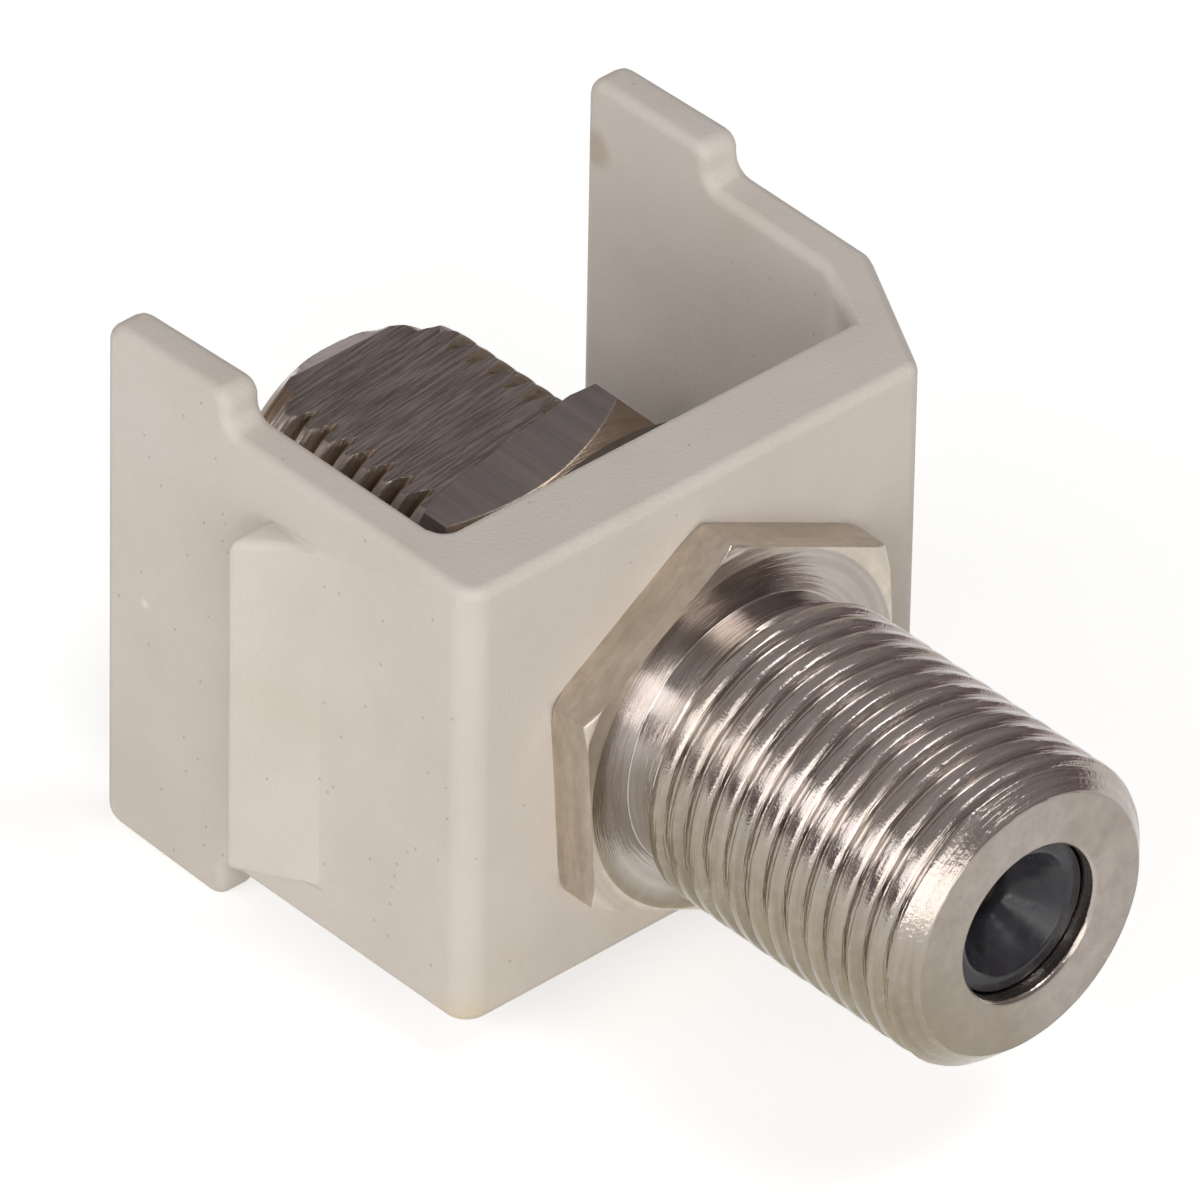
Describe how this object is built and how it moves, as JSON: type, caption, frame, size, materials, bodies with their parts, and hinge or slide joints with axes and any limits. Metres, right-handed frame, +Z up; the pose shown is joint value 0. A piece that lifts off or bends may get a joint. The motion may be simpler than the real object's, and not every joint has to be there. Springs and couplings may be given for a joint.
{
  "type": "f connector",
  "caption": "Snap-in F-type coaxial coupler: double-ended threaded barrel with hex flange, lock washer and nut in a moulded U-shaped carrier.",
  "frame": {"origin": "on the barrel's axis, in the outer face of the carrier's front wall", "axes": "+Y along the barrel towards the rear port, -Y out of the front port, +Z up, +X to the side with the sloped corner"},
  "size_m": [0.0221, 0.0285, 0.0173],
  "materials": {
    "carrier_plastic": "fine spark texture, almond",
    "plated_body": "nickel plate over turned brass",
    "plated_nut": "nickel plate over drawn brass",
    "plated_washer": "plated spring steel",
    "insulator": "smooth, slightly translucent",
    "contact_metal": "plated spring bronze"
  },
  "bodies": {
    "root": {"carrier": "carrier_plastic", "connector_body": "plated_body", "mounting_nut": "plated_nut", "lock_washer": "plated_washer", "front_insulator": "insulator", "rear_insulator": "insulator", "centre_contact": "contact_metal", "retaining_ring": "plated_body"}
  },
  "joints": []
}
